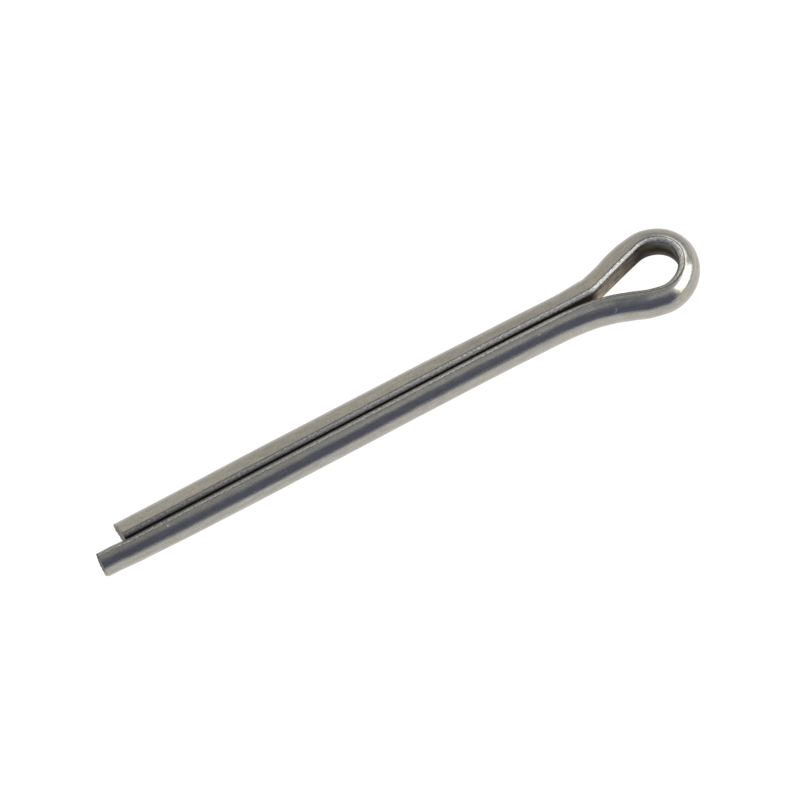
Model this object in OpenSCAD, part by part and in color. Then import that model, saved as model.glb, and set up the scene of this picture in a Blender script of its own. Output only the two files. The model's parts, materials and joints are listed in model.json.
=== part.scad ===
// Split cotter pin, nominal size 4 x 45, bent from one length of half-round steel wire.
// The two flats of the wire face each other, so that the legs make up one round shank.
// Frame: the shank's axis is X with the eye towards +X, and the eye lies flat in XY.
// Origin: on the shank's axis, at the end of the round shank, where the eye's neck begins.

/* [Wire] */
// Diameter of the round shank, measured over both legs
shank_d = 3.7; // [2.9:0.1:4.6]
// Gap between the flats of the two legs
leg_gap = 0.24; // [0.12:0.02:0.4]
// Radius of the rolled edge between the flat and the round side of the wire
edge_r = 0.5; // [0.35:0.05:0.7]
// How far the rolled edge reaches down the flat
edge_h = 0.5; // [0.35:0.05:0.7]

/* [Eye] */
// Width of the eye's hole, across its round end
eye_w = 3.94; // [3.2:0.02:4.8]
// How far the eye sits off the shank's axis, towards the long leg
eye_shift = 0.2; // [-0.3:0.05:0.3]
// Angle between the shank and the eye's arm on the short leg's side
short_arm_angle = 18; // [15:0.5:22]
// Angle between the shank and the eye's arm on the long leg's side
long_arm_angle = 18.5; // [15:0.5:22]
// Radius in the hollow of the tight bend between the short leg and its arm
short_neck_r = 0.5; // [0.2:0.05:1.5]
// Radius in the hollow of the long bend between the long leg and its arm
long_neck_r = 17; // [12:0.5:21]

/* [Legs] */
// Length of the short leg, from the origin to its tip
short_leg_l = 39.3; // [20:0.1:70]
// How far the long leg's tip stands past the short leg's
leg_step = 2.4; // [1:0.1:4]
// Radius that the shears roll onto the round edge of each tip
tip_r = 0.35; // [0.1:0.05:0.6]
// Lean of the cut across the short leg's tip
short_tip_lean = 10; // [0:1:15]
// Lean of the cut across the long leg's tip
long_tip_lean = 2; // [0:1:15]

/* [Hidden] */
$fn = 128;
steel = "#8f8d89";
// The bends run this angle on into the straight wire at each end, so that the two join
lap = 0.6;
// How much slimmer the bends are all round, which keeps their ends inside the wire
lap_slim = 0.004;
// The wire that runs straight on past the shank draws in by this much, starting this far
// past the origin, so that the shank's exact round wall ends where a hole over it would stop
neck_slim = 0.002;
neck_start = 0.2;

shank_r = shank_d / 2;
half_gap = leg_gap / 2;
// Half height of the flat that is left between the two rolled edges
flat_z = sqrt(shank_r * shank_r - half_gap * half_gap) - edge_h;
// Depth of the wire, from its flat to its round back
wire_depth = shank_r - half_gap;
// Bend radii, measured on the flat of the wire
eye_r = eye_w / 2;
short_bend_r = short_neck_r + wire_depth;
long_bend_r = long_neck_r + wire_depth;

// Distance along the shank from the start of a neck bend to the middle of the eye.
// The bend starts along the leg's flat, half_gap off the axis, and the arm after it
// runs at the given angle until it touches the eye, whose middle is offset off the axis.
function neck_reach(angle, bend_r, offset) =
    eye_r * sin(angle)
    + (bend_r - (half_gap + bend_r - offset - eye_r * cos(angle)) * cos(angle)) / sin(angle);

eye_x = neck_reach(long_arm_angle, long_bend_r, eye_shift);

// What the flat and its two rolled edges leave of the wire: the flat lies on the line
// x = slim and the wire runs on past its round back, which other shapes cut off.
module flat_side(slim = 0) {
    translate([slim, -flat_z]) square([shank_d, 2 * flat_z]);
    translate([edge_r, -shank_d]) square([shank_d, 2 * shank_d]);
    for (z = [-flat_z, flat_z]) translate([edge_r, z]) circle(edge_r - slim);
}

// Half-round section of the wire, with its flat on x = 0 and its round back towards +x
module wire_section(slim = 0) {
    intersection() {
        translate([-half_gap, 0]) circle(shank_r - slim);
        flat_side(slim);
    }
}

// A straight run of a section that ends at x = 0, with the section's own x axis along +y
module run(length) {
    mirror([1, 0, 0]) rotate([90, 0, 90]) linear_extrude(length) children();
}

// A bend about the origin from one angle to another, lapping into the wire at both ends
module bend(from, to) {
    rotate([0, 0, from - lap]) rotate_extrude(angle = to - from + 2 * lap) children();
}

// Outline of half a round bar: its tip, with the rolled edge, is at y = 0. Its wall runs on
// for wall_l, and past that the bar draws in very slightly over the rest of its length.
module bar_outline(wall_l, rest_l) {
    intersection() {
        union() {
            square([shank_r - tip_r, wall_l]);
            translate([0, tip_r]) square([shank_r, wall_l - tip_r]);
            translate([shank_r - tip_r, tip_r]) circle(tip_r);
            translate([0, wall_l])
                polygon([[0, 0], [shank_r, 0], [shank_r - neck_slim, rest_l], [0, rest_l]]);
        }
        square([shank_d, wall_l + rest_l]);
    }
}

// One leg on the +y side, from its sheared tip at x = -length to its neck bend.
// Its back belongs to a round bar about the shank's axis, whose tip has a rolled edge.
module leg(length, neck_x, lean) {
    box = 2 * shank_d;
    difference() {
        intersection() {
            translate([-length, 0, 0]) rotate([0, 90, 0])
                rotate_extrude() bar_outline(length + neck_start, neck_x + shank_d);
            translate([neck_x, half_gap, 0]) run(length + neck_x + shank_d) flat_side();
        }
        // The shears lean over, and cut the flat back further than the round side
        translate([-length, shank_r, 0]) rotate([0, 0, lean])
            translate([-box / 2, 0, 0]) cube([box, 2 * box, box], center = true);
    }
}

// One side of the pin, from its leg's tip over its neck bend and arm to the eye.
// The eye's middle lies offset from the shank's axis, on this side if it is positive.
module side(angle, bend_r, offset, leg_l, lean) {
    neck_x = eye_x - neck_reach(angle, bend_r, offset);
    bend_end = [neck_x + bend_r * sin(angle), half_gap + bend_r * (1 - cos(angle))];
    arm_end = [eye_x - eye_r * sin(angle), offset + eye_r * cos(angle)];
    leg(leg_l, neck_x, lean);
    translate([neck_x, half_gap + bend_r, 0]) bend(-90, angle - 90)
        translate([bend_r, 0]) mirror([1, 0]) wire_section(lap_slim);
    translate(arm_end) rotate([0, 0, angle]) run(norm(arm_end - bend_end)) wire_section();
}

// Round end of the eye, from the arm on the long leg's side round to the other
module eye_bend() {
    translate([eye_x, -eye_shift, 0]) bend(-90 - long_arm_angle, 90 + short_arm_angle)
        translate([eye_r, 0]) wire_section(lap_slim);
}

// The whole pin: one wire from the short leg's tip, round the eye, to the long leg's tip
module cotter_pin() {
    color(steel) {
        side(short_arm_angle, short_bend_r, -eye_shift, short_leg_l, short_tip_lean);
        eye_bend();
        mirror([0, 1, 0])
            side(long_arm_angle, long_bend_r, eye_shift, short_leg_l + leg_step, long_tip_lean);
    }
}

cotter_pin();
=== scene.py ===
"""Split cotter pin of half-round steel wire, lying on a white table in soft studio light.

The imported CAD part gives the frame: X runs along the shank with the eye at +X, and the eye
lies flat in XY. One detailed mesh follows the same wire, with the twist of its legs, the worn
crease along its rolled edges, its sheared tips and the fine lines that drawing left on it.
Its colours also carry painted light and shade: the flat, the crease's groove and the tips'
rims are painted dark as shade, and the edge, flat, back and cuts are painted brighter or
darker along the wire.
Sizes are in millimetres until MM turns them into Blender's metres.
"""

import json
import math

import bmesh
import bpy
import numpy as np
from mathutils import Matrix, Vector, noise


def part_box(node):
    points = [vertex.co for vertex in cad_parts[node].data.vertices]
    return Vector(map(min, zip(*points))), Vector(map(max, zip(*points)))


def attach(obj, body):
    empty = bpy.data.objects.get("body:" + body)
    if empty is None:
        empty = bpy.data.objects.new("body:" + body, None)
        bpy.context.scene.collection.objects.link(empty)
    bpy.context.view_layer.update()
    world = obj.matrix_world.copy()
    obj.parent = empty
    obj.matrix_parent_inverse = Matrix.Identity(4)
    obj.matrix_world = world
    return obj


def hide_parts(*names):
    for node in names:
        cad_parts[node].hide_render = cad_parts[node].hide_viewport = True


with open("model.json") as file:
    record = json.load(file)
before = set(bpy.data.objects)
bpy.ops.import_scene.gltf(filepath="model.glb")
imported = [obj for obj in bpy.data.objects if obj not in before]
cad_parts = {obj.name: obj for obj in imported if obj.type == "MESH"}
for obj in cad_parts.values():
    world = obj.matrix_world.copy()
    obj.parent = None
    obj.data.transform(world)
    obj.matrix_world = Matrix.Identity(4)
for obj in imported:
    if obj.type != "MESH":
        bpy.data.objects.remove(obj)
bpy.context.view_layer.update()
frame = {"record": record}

# ---------------------------------------------------------------- sizes, in millimetres

MM = 0.001
NODE = "cotter_pin"
BOX_LOW, BOX_HIGH = (np.array(corner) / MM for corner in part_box(NODE))

# The wire, as in the part's source
SHANK_R = frame["record"]["mounts"][0]["dims"]["r_mm"]
HALF_GAP = 0.12
WIRE_DEPTH = SHANK_R - HALF_GAP
EDGE_R = 0.5
# The crease between the round back and the rolled edge is a fine groove, this deep
GROOVE_D = 0.03

# The eye and its two arms
EYE_R = 1.97
EYE_SHIFT = 0.2
EYE_X = BOX_HIGH[0] - EYE_R - WIRE_DEPTH
SHORT_ARM = math.radians(18)
LONG_ARM = math.radians(18.5)
SHORT_BEND_R = 0.5 + WIRE_DEPTH
LONG_BEND_R = 17 + WIRE_DEPTH

# The legs and their sheared tips
LEG_STEP = 2.4
LONG_LEG = 41.7
SHORT_LEG = LONG_LEG - LEG_STEP
SHORT_TIP_R = 0.25
LONG_TIP_R = 0.35
# The shears rolled the tips' edge over less on the upper side, by this share
TIP_SHARPER = 0.75
# That side starts and is fully reached at these angles from the middle of the back, in radians
UPPER_FROM, UPPER_FULL = -0.3, 0.6
SHORT_LEAN = math.radians(10)
LONG_LEAN = math.radians(2)
# The shank twists about its axis towards its tips
TWIST = math.radians(6.15)
# The cuts lean over, and the wire's rings come upright again over this length behind them
LEAN_REACH = 1.6
# How far the sheared faces dish in, and how rough the torn part of them is: (depth, grains a mm)
CUT_DISH = 0.05
CUT_GRAINS = ((0.035, 5.0), (0.018, 14.0))
# Up to which height the blade cut smoothly, and from which height on the face is torn
CUT_SMOOTH_TO, CUT_TORN_FROM = -0.9, 0.4
# How far the edge of a cut is torn, how fine the tearing is and how far back it reaches
TORN = 0.09
TORN_GRAIN = 3.2
TORN_REACH = 0.25
# How far the sides take on the cut's dark look at its rim: partly a torn look, partly painted shade
# on the tips' rolled-over edge
TORN_LOOK_AND_SHADE = 0.45
# The angle past which two faces meet in a sharp edge
SHARP = math.radians(50)

# ---------------------------------------------------------------- what changes along the wire

# At the ends of the wire's stretches and on the way round the eye. Between these the values run
# straight from one to the next:
# crease: how far round from the middle of the back the crease lies, in degrees
# groove: half the width of the crease's groove, in millimetres
# worn_to: how far round the rolled edge its worn strip gives way to the flat, painted dark as
# shade, in degrees
# rim: how much of the worn look the flat keeps at its rims, in place of its painted shade, fading
# out towards its middle
# roll: how far the wire is rolled about its own length, in degrees
# edge, flat, back: painted light and shade, how much brighter or darker the rolled edge, the flat
# and the round back are painted against their tones
STATION_KEYS = ("crease", "groove", "worn_to", "rim", "roll", "edge", "flat", "back")
STATIONS = {
    "short tip":         (74,   0.05, 150, 0.0,  4.2, 0.6,  0.6,  1.06),
    "short neck":        (74,   0.05, 158, 0.0,  4.4, 1.15, 1.4,  1.0),
    "short arm at neck": (74,   0.05, 148, 0.0,  4.0, 1.3,  9.0,  1.0),
    "short arm at eye":  (74,   0.06, 125, 0.03, 3.4, 1.1,  0.9,  1.0),
    "quarter round eye": (70,   0.09, 134, 0.2,  2.5, 1.25, 0.6,  1.0),
    "half round eye":    (65.5, 0.12, 118, 0.22, 1.6, 1.5,  0.65, 1.0),
    "long arm at eye":   (76,   0.06, 140, 0.1,  0.0, 0.9,  1.0,  1.0),
    "long arm at neck":  (76,   0.05, 150, 0.0,  0.5, 0.7,  1.0,  1.0),
    "long neck":         (71,   0.05, 150, 0.0,  0.9, 1.15, 0.6,  1.0),
    "long tip":          (71,   0.03, 150, 0.0,  1.5, 0.8,  0.6,  0.95),
}
# Over how much more the worn strip gives way, and how much slower where the rims stay worn
WORN_FADE = math.radians(25)
RIM_FADE = math.radians(130)
# The wire isn't quite even: at these distances along it, it is deeper by these shares
SWELL = ((0, 0.01), (4, 0.015), (14, 0.058), (27, 0.058), (36.5, 0.005), (40.5, 0.005),
         (43.2, 0.085), (45.2, 0.054), (46.6, 0.1), (47.6, 0.085), (48.9, 0.0), (50, -0.013),
         (53, -0.013), (54.4, 0.008), (56.2, 0.042), (57.4, 0.062), (58.6, 0.05), (59.8, 0.042),
         (61.4, 0.018), (63.5, 0.0), (70, 0.0), (78, 0.01), (84, 0.035), (93, 0.058),
         (98, 0.05), (104, 0.0))
# And at these it lies this much further out than its nominal line
SHIFT = ((36.5, 0.0), (40, -0.05), (46.5, -0.05), (49.5, -0.08), (51.8, 0.06), (52.6, 0.03),
         (54.4, -0.02), (55.4, 0.02), (56.8, 0.12), (58.2, 0.05), (59.7, 0.012), (61.2, 0.035),
         (63.4, 0.1), (64.5, 0.1), (66.5, 0.06), (69.5, 0.02), (72, 0.0), (103.5, 0.0),
         (105.5, -0.09))
# Painted light and shade: how bright the sheared faces of the short and the long leg are painted
# against their tones
SHORT_CUT_PAINTED_LIGHT = 1.4
LONG_CUT_PAINTED_LIGHT = 0.45

# ---------------------------------------------------------------- looks of the steel

# Each pair of tones is mixed by noise
BACK_TONES = ((0.315, 0.305, 0.276, 1), (0.375, 0.356, 0.31, 1))
EDGE_TONES = ((0.21, 0.205, 0.192, 1), (0.57, 0.56, 0.53, 1))
# The flat's tones are painted shade, standing for the shade in the gap between the legs and inside
# the eye
FLAT_SHADE_TONES = ((0.022, 0.02, 0.018, 1), (0.08, 0.069, 0.056, 1))
CUT_TONES = ((0.05, 0.043, 0.035, 1), (0.16, 0.14, 0.115, 1))
# The back's colour drifts a little between a cooler and a warmer tint
TINTS = ((0.97, 1.0, 1.04, 1), (1.03, 1.0, 0.96, 1))
# Painted shade: the crease's groove is painted dark
CREASE_PAINTED_SHADE = (0.045, 0.043, 0.04, 1)
# How much the flat, painted dark as shade, still shines at a glancing angle
FLAT_GLANCE = (0.5, 0.48, 0.45, 1)
# Bright scratches and specks: (distance along the wire and round it, half length and half width)
MARK_TONE = (0.8, 0.8, 0.8, 1)
MARKS = (((59.56, 3.68), (0.06, 0.24)), ((59.7, 3.52), (0.05, 0.1)), ((100.45, 4.46), (0.12, 0.09)),
         ((66.5, 4.2), (0.1, 0.07)), ((9.5, 4.97), (0.1, 0.05)))
# The third value of wire_place on the sheared faces, which gives them noise of their own
CUT_PLACE = 20.0
BACK_ROUGH = (0.15, 0.2)
EDGE_ROUGH = 0.5
FLAT_ROUGH = 0.55
# Heights of the fine relief, in millimetres
LINE_RELIEF = 0.003
DIMPLE_RELIEF = 0.008
EDGE_RELIEF = 0.02
FLAT_RELIEF = 0.02
# Features a millimetre along the wire and round it, for each noise
LINES = (0.12, 11.0, 1.0)
STREAKS = (0.1, 3.5, 1.0)
BANDS = (0.05, 1.6, 1.0)
PATCHES = (0.9, 2.2, 1.0)
SPECKLE = (5.0, 7.0, 1.0)
GRAIN = (9.0, 9.0, 1.0)
SPARKLE = (4.0, 11.0, 1.0)
TINT = (0.8, 1.5, 1.0)


def neck_reach(angle, bend_r, offset):
    """Distance along the shank from the start of a neck bend to the middle of the eye."""
    drop = HALF_GAP + bend_r - offset - EYE_R * math.cos(angle)
    return EYE_R * math.sin(angle) + (bend_r - drop * math.cos(angle)) / math.sin(angle)


def smooth_step(value, low, high):
    """Rises from 0 to 1 between low and high, level at both ends."""
    t = np.clip((value - low) / (high - low), 0, 1)
    return t * t * (3 - 2 * t)


def station_values(key, distances, ends):
    """What the stations say of one key, at distances along the wire."""
    column = STATION_KEYS.index(key)
    return np.interp(distances, ends, [row[column] for row in STATIONS.values()])


def smooth_table(values, table):
    """Looks values up in (place, level) pairs, passing smoothly from one level to the next."""
    at, levels = np.array(table, dtype=float).T
    k = np.clip(np.searchsorted(at, values) - 1, 0, len(at) - 2)
    return levels[k] + smooth_step(values, at[k], at[k + 1]) * (levels[k + 1] - levels[k])


# ---------------------------------------------------------------- the wire's path

def wire_path():
    """The line that the wire's flat follows, from the short leg's tip to the long leg's.

    Returns arrays of places (x, y), headings in radians and distances along the wire,
    and the distances at which the stations lie.
    """
    short_neck = EYE_X - neck_reach(SHORT_ARM, SHORT_BEND_R, -EYE_SHIFT)
    arm_start = (short_neck + SHORT_BEND_R * math.sin(SHORT_ARM),
                 HALF_GAP + SHORT_BEND_R * (1 - math.cos(SHORT_ARM)))
    arm_end = (EYE_X - EYE_R * math.sin(SHORT_ARM), -EYE_SHIFT + EYE_R * math.cos(SHORT_ARM))
    long_arm_start = (EYE_X - EYE_R * math.sin(LONG_ARM),
                      -EYE_SHIFT - EYE_R * math.cos(LONG_ARM))
    long_neck = EYE_X - neck_reach(LONG_ARM, LONG_BEND_R, EYE_SHIFT)
    long_arm_end = (long_neck + LONG_BEND_R * math.sin(LONG_ARM),
                    -HALF_GAP - LONG_BEND_R * (1 - math.cos(LONG_ARM)))
    eye_turn = math.pi + SHORT_ARM + LONG_ARM
    # each stretch: its length, the angle it turns to the left, and how long its steps are
    stretches = [
        (short_neck + SHORT_LEG, 0.0, 0.25),
        (SHORT_BEND_R * SHORT_ARM, SHORT_ARM, 0.07),
        (math.dist(arm_start, arm_end), 0.0, 0.15),
        (EYE_R * eye_turn, -eye_turn, 0.05),
        (math.dist(long_arm_start, long_arm_end), 0.0, 0.15),
        (LONG_BEND_R * LONG_ARM, LONG_ARM, 0.15),
        (long_neck + LONG_LEG, 0.0, 0.25),
    ]
    # steps crowd together near each tip, and the even ones start this far from it
    even_from = 0.9
    tip_steps = [0.02, 0.05, 0.09, 0.14, 0.2, 0.27, 0.35, 0.45, 0.6, 0.8]
    places, headings, distances = [(-SHORT_LEG, HALF_GAP)], [0.0], [0.0]
    for n, (length, turn, step) in enumerate(stretches):
        count = max(2, round(length / step))
        parts = [i / count for i in range(1, count + 1)]
        if n == 0:
            parts = [t / length for t in tip_steps] + [p for p in parts if p * length > even_from]
        if n == len(stretches) - 1:
            parts = [p for p in parts if (1 - p) * length > even_from]
            parts += [1 - t / length for t in reversed(tip_steps)] + [1.0]
        x0, y0, h0, s0 = *places[-1], headings[-1], distances[-1]
        for part in parts:
            # the chord of an arc leaves at the mean of its end headings
            chord = length * part
            if turn:
                chord *= math.sin(turn * part / 2) / (turn * part / 2)
            middle = h0 + turn * part / 2
            places.append((x0 + chord * math.cos(middle), y0 + chord * math.sin(middle)))
            headings.append(h0 + turn * part)
            distances.append(s0 + length * part)
    ends = [0.0]
    for length, _, _ in stretches:
        ends.append(ends[-1] + length)
    ends[4:4] = [ends[3] + part * (ends[4] - ends[3]) for part in (0.25, 0.5)]
    return np.array(places), np.array(headings), np.array(distances), np.array(ends)


# ---------------------------------------------------------------- the wire's section

def wire_section(crease, worn_to, groove, worn_rim):
    """Half-round outline, anticlockwise seen along the wire, as (depth from the flat, height).

    Returns the points and, for each, how far it belongs to the rolled edge, to the flat
    and to the crease between the back and the rolled edge.
    """
    crease_y, crease_z = SHANK_R * math.cos(crease), SHANK_R * math.sin(crease)
    # the rolled edge's circle touches the flat and passes through the crease
    edge_from = math.acos(max(-1.0, (crease_y - HALF_GAP - EDGE_R) / EDGE_R))
    edge_z = crease_z - EDGE_R * math.sin(edge_from)
    points, zones = [], []
    back_steps = 60
    back_ends = crease - groove / SHANK_R
    # how much the steps shrink towards the creases
    shrink = 0.35
    for i in range(back_steps + 1):
        t = -math.cos(math.pi * i / back_steps)
        angle = back_ends * (shrink * t + (1 - shrink) * (2 * i / back_steps - 1))
        points.append((SHANK_R * math.cos(angle) - HALF_GAP, SHANK_R * math.sin(angle)))
        zones.append((0.0, 0.0, 0.0))

    edge_steps = 13
    upper = [((SHANK_R - GROOVE_D) * math.cos(crease) - HALF_GAP,
              (SHANK_R - GROOVE_D) * math.sin(crease))]
    upper_zones = [(0.5, 0.0, 1.0)]
    first = edge_from + groove / EDGE_R
    worn_end = worn_to + WORN_FADE + RIM_FADE * worn_rim
    for i in range(edge_steps + 1):
        angle = first + (math.pi - first) * i / edge_steps
        upper.append((EDGE_R + EDGE_R * math.cos(angle), edge_z + EDGE_R * math.sin(angle)))
        into_flat = (1 - worn_rim) * float(smooth_step(angle, worn_to, worn_end))
        upper_zones.append((1.0 - into_flat, into_flat, 0.0))
    flat_steps = 12
    flat = [(0.0, edge_z * (1 - 2 * i / flat_steps)) for i in range(1, flat_steps)]
    rims = [worn_rim * float(smooth_step(abs(height) / edge_z, 0.0, 1.0)) for _, height in flat]
    flat_zones = [(rim, 1.0 - rim, 0.0) for rim in rims]
    points += upper + flat + [(d, -h) for d, h in reversed(upper)]
    zones += upper_zones + flat_zones + upper_zones[::-1]
    return np.array(points), np.array(zones)


def shape_tip(points, from_tip, tip_r):
    """Draws a ring of the section in, where the shears rolled the tip's round edge over."""
    angles = np.arctan2(points[:, 1], points[:, 0] + HALF_GAP)
    upward = smooth_step(angles, UPPER_FROM, UPPER_FULL)
    radii = tip_r * (1 - TIP_SHARPER * upward)
    radius = SHANK_R - radii + np.sqrt(radii**2 - np.maximum(radii - from_tip, 0) ** 2)
    reach = np.hypot(points[:, 0] + HALF_GAP, points[:, 1])
    scale = np.minimum(1, radius / reach)
    return np.stack([(points[:, 0] + HALF_GAP) * scale - HALF_GAP, points[:, 1] * scale], axis=1)


def roll_section(points, angle):
    """Turns a ring of the section about the middle of its round back."""
    across, height = points[:, 0] + HALF_GAP, points[:, 1]
    return np.stack([across * math.cos(angle) - height * math.sin(angle) - HALF_GAP,
                     across * math.sin(angle) + height * math.cos(angle)], axis=1)


def untwisted_rings():
    """Rings of the wire's mesh before the legs' twist, as (ring, point, xyz), and their zones."""
    places, headings, distances, ends = wire_path()
    creases, worn, rolls = (np.radians(station_values(key, distances, ends))
                            for key in ("crease", "worn_to", "roll"))
    grooves, rims = (station_values(key, distances, ends) for key in ("groove", "rim"))
    swells, shifts = smooth_table(distances, SWELL), smooth_table(distances, SHIFT)
    total = distances[-1]
    sections = [wire_section(*values) for values in zip(creases, worn, grooves, rims)]
    out = np.zeros((len(places), len(sections[0][0]), 3))
    for i, (place, heading, distance) in enumerate(zip(places, headings, distances)):
        normal = np.array([-math.sin(heading), math.cos(heading)])
        from_tip = min(distance, total - distance)
        short = distance < total / 2
        ring = shape_tip(sections[i][0], from_tip, SHORT_TIP_R if short else LONG_TIP_R)
        ring = roll_section(ring, rolls[i])
        ring[:, 0] = ring[:, 0] * (1 + swells[i]) + shifts[i]
        out[i, :, :2] = place + ring[:, :1] * normal
        out[i, :, 2] = ring[:, 1]
        # the cut leans over, and the rings come upright again behind it
        lean = SHORT_LEAN if short else LONG_LEAN
        back = (WIRE_DEPTH - ring[:, 0]) * math.tan(lean)
        out[i, :, 0] += back * (1 - float(smooth_step(from_tip, 0.0, LEAN_REACH)))
        if from_tip < TORN_REACH:
            torn = (1 - from_tip / TORN_REACH) * TORN
            out[i, :, 0] += [torn * noise.noise(Vector(point * TORN_GRAIN)) for point in out[i]]
    return out, [section[1] for section in sections]


def twist_legs(points):
    """Turns points about the shank's axis, the further the nearer they are to the tips."""
    theta = TWIST * np.clip(-points[:, 0] / LONG_LEG, 0, 1)
    y, z = points[:, 1], points[:, 2]
    return np.stack([points[:, 0], y * np.cos(theta) - z * np.sin(theta),
                     y * np.sin(theta) + z * np.cos(theta)], axis=1)


# ---------------------------------------------------------------- the wire's mesh

def cut_face(rim):
    """Rings and middle of a sheared end face: smooth where the blade entered, torn after it."""
    middle = rim.mean(axis=0)
    rings = []
    for part in (0.94, 0.84, 0.7, 0.52, 0.32, 0.13):
        ring = middle + (rim - middle) * part
        for point in ring:
            torn = float(smooth_step(point[2], CUT_SMOOTH_TO, CUT_TORN_FROM))
            grain = sum(depth * noise.noise(Vector(point * count)) for depth, count in CUT_GRAINS)
            point[0] += CUT_DISH * (1 - part) - grain * torn
        rings.append(ring)
    return rings, middle + np.array([CUT_DISH, 0.0, 0.0])


def build_wire():
    """The pin's mesh, with four attributes at each face's corners.

    wire_place: distance along the wire, distance round its section, and 0. On a cut it is the
    corner's place across the shank, its height, and CUT_PLACE.
    wire_zone: how far the corner is on the rolled edge, on the flat and in the crease.
    wire_light: painted light and shade, how bright the rolled edge, the flat and the round back (or
    the cut) are painted there.
    wire_cut: 1 on a sheared end face, and less on the sides at its rim, which darkens them there,
    partly as painted shade.
    """
    rings, zones = untwisted_rings()
    tip = dict(zip(STATION_KEYS, STATIONS["short tip"]))
    section, _ = wire_section(math.radians(tip["crease"]), math.radians(tip["worn_to"]),
                              tip["groove"], tip["rim"])
    _, _, distances, ends = wire_path()
    # Painted light and shade along the wire, from the stations' edge, flat and back values
    painted_lights = np.stack([station_values(key, distances, ends) for key in ("edge", "flat", "back")],
                      axis=1)
    count = len(section)
    around = np.cumsum(np.linalg.norm(np.roll(section, -1, axis=0) - section, axis=1))
    around = np.concatenate([[0.0], around])
    from_tip = np.minimum(distances, distances[-1] - distances)
    # The sides darken towards the tips, partly as a torn look and partly as painted shade
    torn = TORN_LOOK_AND_SHADE * (1 - smooth_step(from_tip, 0.0, TORN_REACH))
    vertices = [tuple(point) for point in rings.reshape(-1, 3)]
    faces, places, in_zones, in_painted_light, cuts = [], [], [], [], []
    for i in range(len(rings) - 1):
        near, far = distances[i], distances[i + 1]
        for j in range(count):
            k = (j + 1) % count
            a, b = i * count, (i + 1) * count
            faces.append((a + j, a + k, b + k, b + j))
            places += [(near, around[j], 0.0), (near, around[j + 1], 0.0),
                       (far, around[j + 1], 0.0), (far, around[j], 0.0)]
            in_zones += [zones[i][j], zones[i][k], zones[i + 1][k], zones[i + 1][j]]
            in_painted_light += [painted_lights[i], painted_lights[i], painted_lights[i + 1], painted_lights[i + 1]]
            cuts += [torn[i], torn[i], torn[i + 1], torn[i + 1]]
    for start, rim, light in ((0, rings[0], SHORT_CUT_PAINTED_LIGHT),
                              ((len(rings) - 1) * count, rings[-1], LONG_CUT_PAINTED_LIGHT)):
        inner, middle = cut_face(rim)
        loops = [list(range(start, start + count))]
        for ring in inner:
            loops.append(list(range(len(vertices), len(vertices) + count)))
            vertices += [tuple(point) for point in ring]
        centre = len(vertices)
        vertices.append(tuple(middle))
        cut_faces = []
        for a, b in zip(loops, loops[1:]):
            for j in range(count):
                k = (j + 1) % count
                cut_faces.append((a[j], a[k], b[k], b[j]))
        cut_faces += [(loops[-1][j], loops[-1][(j + 1) % count], centre) for j in range(count)]
        for face in cut_faces:
            places += [(vertices[v][1], vertices[v][2], CUT_PLACE) for v in face]
            in_zones += [(0.0, 0.0, 0.0)] * len(face)
            in_painted_light += [(1.0, 1.0, light)] * len(face)
            cuts += [1.0] * len(face)
        faces += cut_faces

    mesh = bpy.data.meshes.new("pin_wire")
    mesh.from_pydata([tuple(point * MM) for point in twist_legs(np.array(vertices))], [], faces)
    for name, kind, key, values in (("wire_place", "FLOAT_VECTOR", "vector", places),
                                    ("wire_zone", "FLOAT_VECTOR", "vector", in_zones),
                                    ("wire_light", "FLOAT_VECTOR", "vector", in_painted_light),
                                    ("wire_cut", "FLOAT", "value", cuts)):
        attribute = mesh.attributes.new(name, kind, "CORNER")
        attribute.data.foreach_set(key, np.array(values, dtype=np.float32).ravel())
    bm = bmesh.new()
    bm.from_mesh(mesh)
    bmesh.ops.recalc_face_normals(bm, faces=bm.faces)
    for edge in bm.edges:
        edge.smooth = edge.calc_face_angle(0.0) < SHARP
    for face in bm.faces:
        face.smooth = True
    bm.to_mesh(mesh)
    bm.free()
    wire = bpy.data.objects.new("pin_wire", mesh)
    bpy.context.scene.collection.objects.link(wire)
    return wire


# ---------------------------------------------------------------- the steel

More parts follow.
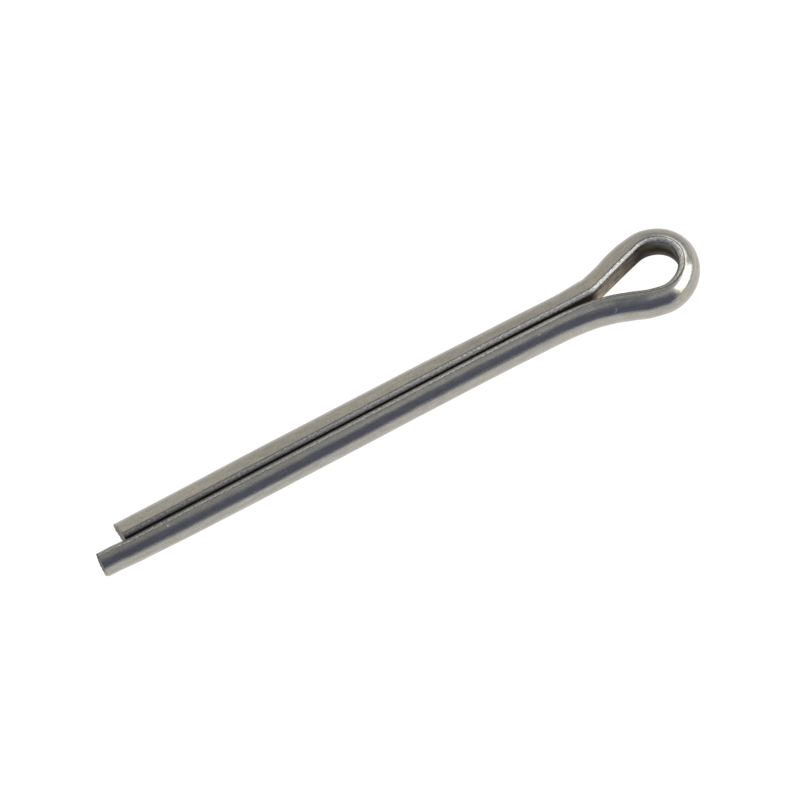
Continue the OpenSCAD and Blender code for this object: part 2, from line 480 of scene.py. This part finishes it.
class Graph:
    """Adds nodes to a material's tree; a socket given as an input is linked, a value is set."""

    def __init__(self, tree):
        self.tree = tree

    def put(self, socket, value):
        if isinstance(value, bpy.types.NodeSocket):
            self.tree.links.new(value, socket)
        else:
            socket.default_value = value

    def add(self, kind, inputs, output=0, **settings):
        node = self.tree.nodes.new(kind)
        for name, value in settings.items():
            setattr(node, name, value)
        for key, value in inputs.items():
            self.put(node.inputs[key], value)
        return node.outputs[output]

    def math(self, operation, a, b):
        return self.add("ShaderNodeMath", {0: a, 1: b}, operation=operation)

    def split(self, vector):
        node = self.tree.nodes.new("ShaderNodeSeparateXYZ")
        self.tree.links.new(vector, node.inputs[0])
        return node.outputs

    def scale_colour(self, colour, value):
        grey = self.add("ShaderNodeCombineXYZ", {0: value, 1: value, 2: value})
        return self.mix_colour(1.0, colour, grey, "MULTIPLY")

    def noise(self, place, stretch, detail=3.0):
        """Noise from 0 to 1 over the wire, with so many features a millimetre each way."""
        scaled = self.add("ShaderNodeVectorMath", {0: place, 1: stretch}, operation="MULTIPLY")
        return self.add("ShaderNodeTexNoise", {"Vector": scaled, "Scale": 1.0, "Detail": detail})

    def ramp(self, value, low, high, out_low, out_high):
        return self.add("ShaderNodeMapRange", {"Value": value, "From Min": low, "From Max": high,
                                               "To Min": out_low, "To Max": out_high})

    def mix(self, part, a, b):
        """Mix of two numbers."""
        return self.add("ShaderNodeMix", {0: part, 2: a, 3: b}, data_type="FLOAT")

    def mix_colour(self, part, a, b, blend="MIX"):
        return self.add("ShaderNodeMix", {0: part, 6: a, 7: b}, output=2, data_type="RGBA",
                        blend_type=blend)

    def add_output(self, shader):
        output = self.tree.nodes.new("ShaderNodeOutputMaterial")
        self.tree.links.new(shader, output.inputs[0])

    def attribute(self, name, output):
        node = self.tree.nodes.new("ShaderNodeAttribute")
        node.attribute_name = name
        return node.outputs[output]

    def spot(self, place, centre, size):
        """1 at a place on the wire (along, around), falling to 0 at the edge of an ellipse."""
        offset = self.add("ShaderNodeVectorMath", {0: place, 1: (*centre, 0.0)},
                          operation="SUBTRACT")
        scaled = self.add("ShaderNodeVectorMath", {0: offset, 1: (1 / size[0], 1 / size[1], 1.0)},
                          operation="MULTIPLY")
        length = self.tree.nodes.new("ShaderNodeVectorMath")
        length.operation = "LENGTH"
        self.tree.links.new(scaled, length.inputs[0])
        return self.ramp(length.outputs["Value"], 0.4, 1.0, 1.0, 0.0)


def steel_material():
    material = bpy.data.materials.new("drawn_steel")
    material.use_nodes = True
    graph = Graph(material.node_tree)
    place = graph.attribute("wire_place", "Vector")
    edge, flat, crease = graph.split(graph.attribute("wire_zone", "Vector"))
    edge_painted_light, flat_painted_light, back_painted_light = graph.split(graph.attribute("wire_light", "Vector"))
    cut = graph.attribute("wire_cut", "Fac")

    lines = graph.noise(place, LINES, 4.0)
    streaks = graph.noise(place, STREAKS, 3.0)
    bands = graph.noise(place, BANDS, 2.0)
    patches = graph.noise(place, PATCHES, 4.0)
    speckle = graph.noise(place, SPECKLE, 2.0)
    grain = graph.noise(place, GRAIN, 3.0)
    sparkle = graph.noise(place, SPARKLE, 2.0)
    tint = graph.noise(place, TINT, 3.0)

    tone = graph.mix_colour(graph.ramp(patches, 0.35, 0.65, 0.0, 1.0), *BACK_TONES)
    tone = graph.scale_colour(tone, graph.math("MULTIPLY", graph.ramp(lines, 0.3, 0.7, 0.94, 1.06),
                                               graph.ramp(streaks, 0.3, 0.7, 0.92, 1.08)))
    tone = graph.scale_colour(tone, graph.ramp(speckle, 0.3, 0.7, 0.88, 1.12))
    tints = graph.mix_colour(graph.ramp(tint, 0.35, 0.65, 0.0, 1.0), *TINTS)
    tone = graph.mix_colour(1.0, tone, tints, "MULTIPLY")
    # Painted light and shade on the back along the wire
    tone = graph.scale_colour(tone, back_painted_light)
    for centre, size in MARKS:
        tone = graph.mix_colour(graph.spot(place, centre, size), tone, MARK_TONE)
    worn = graph.mix_colour(graph.ramp(sparkle, 0.35, 0.68, 0.0, 1.0), *EDGE_TONES)
    # Painted light and shade on the worn strip along the wire
    worn = graph.scale_colour(worn, edge_painted_light)
    # scale: the flat painted dark as shade, lighter or darker along the wire
    scale = graph.mix_colour(graph.ramp(patches, 0.3, 0.7, 0.0, 1.0), *FLAT_SHADE_TONES)
    scale = graph.scale_colour(scale, graph.math("MULTIPLY", flat_painted_light,
                                                 graph.ramp(speckle, 0.3, 0.7, 0.6, 1.4)))
    sheared = graph.mix_colour(graph.ramp(grain, 0.35, 0.65, 0.0, 1.0), *CUT_TONES)
    # Painted light and shade on the sheared faces
    sheared = graph.scale_colour(sheared, back_painted_light)
    colour = graph.mix_colour(edge, tone, worn)
    # Painted shade in the crease's groove
    colour = graph.mix_colour(crease, colour, CREASE_PAINTED_SHADE)
    colour = graph.mix_colour(flat, colour, scale)
    colour = graph.mix_colour(cut, colour, sheared)

    gloss = graph.ramp(bands, 0.3, 0.7, BACK_ROUGH[0], BACK_ROUGH[1])
    rough = graph.mix(edge, gloss, EDGE_ROUGH)
    rough = graph.mix(flat, rough, FLAT_ROUGH)
    rough = graph.mix(cut, rough, FLAT_ROUGH)

    drawn = graph.math("ADD", graph.math("MULTIPLY", lines, LINE_RELIEF),
                       graph.math("MULTIPLY", speckle, DIMPLE_RELIEF))
    relief = graph.mix(edge, drawn, graph.math("MULTIPLY", sparkle, EDGE_RELIEF))
    relief = graph.mix(graph.math("MAXIMUM", flat, cut), relief,
                       graph.math("MULTIPLY", grain, FLAT_RELIEF))
    bump = graph.add("ShaderNodeBump", {"Strength": 1.0, "Distance": MM, "Height": relief})

    steel = material.node_tree.nodes["Principled BSDF"]
    steel.inputs["Metallic"].default_value = 1.0
    graph.put(steel.inputs["Base Color"], colour)
    # The flat's painted shade also dims its glancing shine
    graph.put(steel.inputs["Specular Tint"], graph.mix_colour(flat, (1, 1, 1, 1), FLAT_GLANCE))
    graph.put(steel.inputs["Roughness"], rough)
    graph.put(steel.inputs["Normal"], bump)
    return material


wire = build_wire()
wire.data.materials.append(steel_material())
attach(wire, "root")
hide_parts(NODE)

# ---------------------------------------------------------------- camera

# The view's angles, solved from the photo's outline: round from the front, up, and the roll
VIEW_TURN = math.radians(13.79)
VIEW_RISE = math.radians(67.7)
VIEW_ROLL = math.radians(14.67)
# How far off the camera is, and how wide the frame is there at the pin
DISTANCE = 700.0
FRAME_WIDTH = 64.98
# The place in the frame's middle: a place on the shank's axis, moved this far right and up
LOOK_AT = np.array([-14.27, 0.0, 0.0])
OFFSET = (0.311, 0.239)


def build_camera():
    right = np.array([math.cos(VIEW_TURN), -math.sin(VIEW_TURN), 0.0])
    back = np.array([-math.cos(VIEW_RISE) * math.sin(VIEW_TURN),
                     -math.cos(VIEW_RISE) * math.cos(VIEW_TURN), math.sin(VIEW_RISE)])
    up = np.cross(back, right)
    c, s = math.cos(VIEW_ROLL), math.sin(VIEW_ROLL)
    right, up = c * right - s * up, s * right + c * up
    target = LOOK_AT + OFFSET[0] * right + OFFSET[1] * up
    data = bpy.data.cameras.new("camera")
    data.sensor_width = 36.0
    data.lens = data.sensor_width * DISTANCE / FRAME_WIDTH
    data.clip_start, data.clip_end = 0.01, 20
    camera = bpy.data.objects.new("camera", data)
    place = Matrix([list(right) + [0], list(up) + [0], list(back) + [0], [0, 0, 0, 1]]).transposed()
    camera.matrix_world = Matrix.Translation(Vector((target + DISTANCE * back) * MM)) @ place
    bpy.context.scene.collection.objects.link(camera)
    bpy.context.scene.camera = camera


build_camera()

# ---------------------------------------------------------------- studio

# The table lies this far under the solid, which keeps it clear of the rolled wire
FLOOR_GAP = 0.04
FLOOR_Z = BOX_LOW[2] - FLOOR_GAP
FLOOR_SIZE = 3000.0
# The table's own glow, and its paper, which takes the shadow. Together they come to about 1.18
# times white, which clips most of the shadow
FLOOR_GLOW = 0.96
FLOOR_TONE = (0.22, 0.22, 0.22, 1)
WORLD_DIM = 0.5
WHITE = (1.0, 1.0, 1.0)


def look_only_white(tree, shown, hidden):
    """Mixes two shaders: shown is what the camera, metal and glass see, hidden is for the rest."""
    path = tree.nodes.new("ShaderNodeLightPath")
    seen = None
    for name in ("Is Camera Ray", "Is Glossy Ray", "Is Transmission Ray"):
        if seen is None:
            seen = path.outputs[name]
            continue
        either = tree.nodes.new("ShaderNodeMath")
        either.operation = "MAXIMUM"
        tree.links.new(seen, either.inputs[0])
        tree.links.new(path.outputs[name], either.inputs[1])
        seen = either.outputs[0]
    mix = tree.nodes.new("ShaderNodeMixShader")
    tree.links.new(seen, mix.inputs[0])
    tree.links.new(hidden, mix.inputs[1])
    tree.links.new(shown, mix.inputs[2])
    return mix.outputs[0]


def build_floor():
    half = FLOOR_SIZE / 2 * MM
    mesh = bpy.data.meshes.new("floor")
    corners = [(x * half, y * half, FLOOR_Z * MM) for x, y in ((-1, -1), (1, -1), (1, 1), (-1, 1))]
    mesh.from_pydata(corners, [], [(0, 1, 2, 3)])
    floor = bpy.data.objects.new("floor", mesh)
    bpy.context.scene.collection.objects.link(floor)
    material = bpy.data.materials.new("white_table")
    material.use_nodes = True
    tree = material.node_tree
    tree.nodes.clear()
    paper = tree.nodes.new("ShaderNodeBsdfDiffuse")
    paper.inputs["Color"].default_value = FLOOR_TONE
    glow = tree.nodes.new("ShaderNodeEmission")
    glow.inputs["Strength"].default_value = FLOOR_GLOW
    both = tree.nodes.new("ShaderNodeAddShader")
    tree.links.new(paper.outputs[0], both.inputs[0])
    tree.links.new(glow.outputs[0], both.inputs[1])
    output = tree.nodes.new("ShaderNodeOutputMaterial")
    tree.links.new(look_only_white(tree, both.outputs[0], paper.outputs[0]), output.inputs[0])
    mesh.materials.append(material)


def glow_material(name, colour, strength):
    """A light that fades out where the mesh's fade attribute falls from 1 to 0."""
    material = bpy.data.materials.new(name)
    material.use_nodes = True
    graph = Graph(material.node_tree)
    graph.tree.nodes.clear()
    glow = graph.add("ShaderNodeEmission", {"Color": (*colour, 1), "Strength": strength})
    clear = graph.add("ShaderNodeBsdfTransparent", {})
    fade = graph.attribute("fade", "Fac")
    graph.add_output(graph.add("ShaderNodeMixShader", {0: fade, 1: clear, 2: glow}))
    return material


def build_panel(name, columns, rows, to_place, soft, colour, strength):
    """A glowing sheet over a grid, unseen by the camera, whose rim fades out over a soft margin.

    columns and rows are (from, to); to_place gives a point in millimetres for one of each.
    """
    count = 24
    across = np.linspace(*columns, count + 1)
    upward = np.linspace(*rows, count + 1)
    points, fades = [], []
    for a in across:
        for b in upward:
            points.append(tuple(value * MM for value in to_place(a, b)))
            rim = min(min(a - columns[0], columns[1] - a) / soft[0] if soft[0] else 1,
                      (b - rows[0]) / soft[1] if soft[1] else 1,
                      (rows[1] - b) / soft[2] if soft[2] else 1)
            fades.append(float(smooth_step(rim, 0.0, 1.0)))
    faces = [(k, k + count + 1, k + count + 2, k + 1)
             for k in range(count * (count + 1)) if (k + 1) % (count + 1)]
    mesh = bpy.data.meshes.new(name)
    mesh.from_pydata(points, [], faces)
    mesh.attributes.new("fade", "FLOAT", "POINT").data.foreach_set("value", fades)
    mesh.materials.append(glow_material(name, colour, strength))
    panel = bpy.data.objects.new(name, mesh)
    bpy.context.scene.collection.objects.link(panel)
    panel.visible_camera = False
    return panel


def build_card(name, azimuths, elevations, radius, soft, colour, strength):
    """A panel of the studio's tent, facing the pin: a patch of a sphere about it, given in degrees.

    Azimuth 0 is +X and 90 is +Y. The soft margins are at the sides, the bottom and the top.
    """
    def to_place(azimuth, elevation):
        a, e = math.radians(azimuth), math.radians(elevation)
        return (radius * math.cos(e) * math.cos(a), radius * math.cos(e) * math.sin(a),
                radius * math.sin(e))
    build_panel(name, azimuths, elevations, to_place, soft, colour, strength)


def build_low_shade(name, side, first, full, end, colour, strength):
    """What the steel sees low down on one side: a sheet just above the table, past the pin.

    It starts at y = first, has faded in fully at y = full and ends at x = end.
    """
    reach, far_left, above_table = 1200.0, -900.0, 0.1
    # the sheet's rows crowd together near the pin, by a cube
    fade = ((full - first) / reach) ** (1 / 3)

    def to_place(x, t):
        return x, side * (first + reach * t**3), FLOOR_Z + above_table
    shade = build_panel(name, (far_left, end), (0, 1), to_place, (0, fade, 0), colour, strength)
    shade.visible_diffuse = False
    shade.visible_shadow = False


def build_near_glow(name, x_range, elevations, radius, soft, colour, strength):
    """A dim panel close in front, bent about the shank, that only part of its length reflects."""
    def to_place(x, elevation):
        e = math.radians(elevation)
        return x, -radius * math.cos(e), radius * math.sin(e)
    glow = build_panel(name, x_range, elevations, to_place, soft, colour, strength)
    glow.visible_diffuse = False
    glow.visible_shadow = False


def build_world():
    world = bpy.data.worlds.new("studio")
    world.use_nodes = True
    tree = world.node_tree
    room = tree.nodes["Background"]
    room.inputs["Color"].default_value = (*WHITE, 1)
    dim = tree.nodes.new("ShaderNodeBackground")
    dim.inputs["Strength"].default_value = WORLD_DIM
    tree.links.new(look_only_white(tree, room.outputs[0], dim.outputs[0]),
                   tree.nodes["World Output"].inputs[0])
    bpy.context.scene.world = world


build_floor()
build_world()
build_card("tent", (-180, 180), (0, 90), 1600, (0, 0, 0), (0.98, 1.0, 1.02), 0.69)
build_card("back_wall", (72, 180), (0, 75), 1500, (14, 0, 22), (1.03, 1.0, 0.96), 0.82)
build_card("dim_front", (-180, -60), (20, 88), 1450, (24, 10, 22), (0.97, 1.0, 1.05), 0.52)
build_card("dark_wall", (-212, -66), (0, 55), 1400, (9, 0, 24), (0.8, 0.88, 1.28), 0.25)
build_card("dark_corner", (-212, -94), (28, 78), 1390, (10, 10, 16), (0.85, 0.92, 1.18), 0.3)
build_card("soft_box", (-64, -3), (7, 54), 1300, (9, 4, 5), WHITE, 3.8)
build_card("soft_box_top", (-16, 62), (33, 60), 1290, (8, 6, 8), WHITE, 3.2)
build_card("soft_box_end", (4, 36), (25, 42), 1280, (7, 4, 4), WHITE, 3.0)
build_near_glow("front_glow", (-28, 36), (44, 66), 130, (26, 7, 9), (0.97, 1.0, 1.08), 0.72)
build_low_shade("front_shade", -1, 10, 100, 16, (0.85, 0.9, 1.2), 0.3)
build_low_shade("back_shade", 1, 3.7, 27.3, 40, (1.03, 1.0, 0.95), 0.8)
bpy.context.scene.view_settings.view_transform = "Standard"
